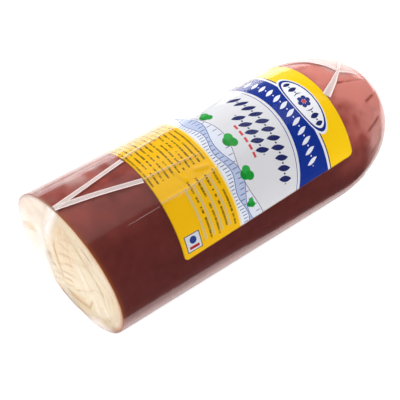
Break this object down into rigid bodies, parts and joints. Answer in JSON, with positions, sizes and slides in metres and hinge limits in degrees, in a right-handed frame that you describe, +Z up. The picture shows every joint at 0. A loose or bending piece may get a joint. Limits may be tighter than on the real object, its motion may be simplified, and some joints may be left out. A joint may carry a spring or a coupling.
{
  "type": "smoked cheese",
  "caption": "Cut length of round smoked processed cheese in a smooth casing with a wrapped paper label, sealed in a clear shrink-film bag, lying on its side.",
  "frame": {"origin": "middle of the foot of the bounding box, on the surface that the part lies on", "axes": "+X along the loaf from the cut end to the rounded end, +Z up, so the side that carries the label's lower edge faces -Y"},
  "size_m": [0.2216, 0.084, 0.0841],
  "materials": {
    "cheese": "pale cream processed cheese, cut face with fine knife drag marks",
    "casing": "smooth red-brown smoked casing with a soft gloss",
    "label": "coated printed paper in yellow, white and blue fields",
    "film": "clear glossy shrink film with fine creases"
  },
  "bodies": {
    "root": {"cheese": "cheese", "casing": "casing", "label": "label", "film_bag": "film", "film_fin": "film"}
  },
  "joints": []
}
